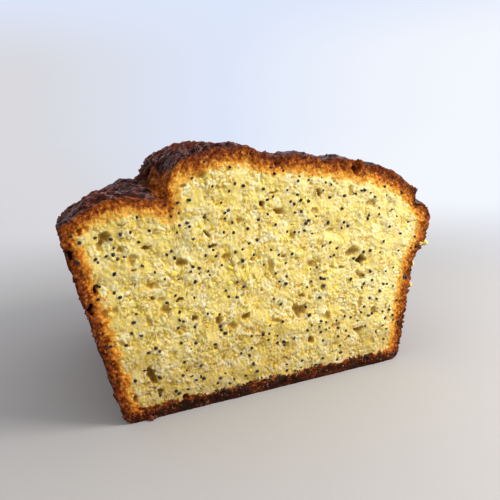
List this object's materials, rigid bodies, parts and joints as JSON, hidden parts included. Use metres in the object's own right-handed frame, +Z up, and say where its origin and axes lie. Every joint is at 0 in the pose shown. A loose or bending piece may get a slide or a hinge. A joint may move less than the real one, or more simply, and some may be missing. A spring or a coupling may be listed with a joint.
{
  "type": "cut pound cake loaf",
  "caption": "Remaining end of a tin-baked pound cake loaf with a flat cut face, poppy seeds in the crumb, sloped crust sides and a domed, split top.",
  "frame": {"origin": "middle of the bounding box's base, on the plane the loaf rests on", "axes": "+Z up, cut face looks along -Y, loaf runs along +Y to its baked end, +X right as seen from the cut face"},
  "size_m": [0.1282, 0.1086, 0.0834],
  "materials": {
    "cake_loaf": "matte yellow crumb with dark seeds; browned crust, glossy on top"
  },
  "bodies": {
    "root": {"cake_loaf": "cake_loaf"}
  },
  "joints": []
}
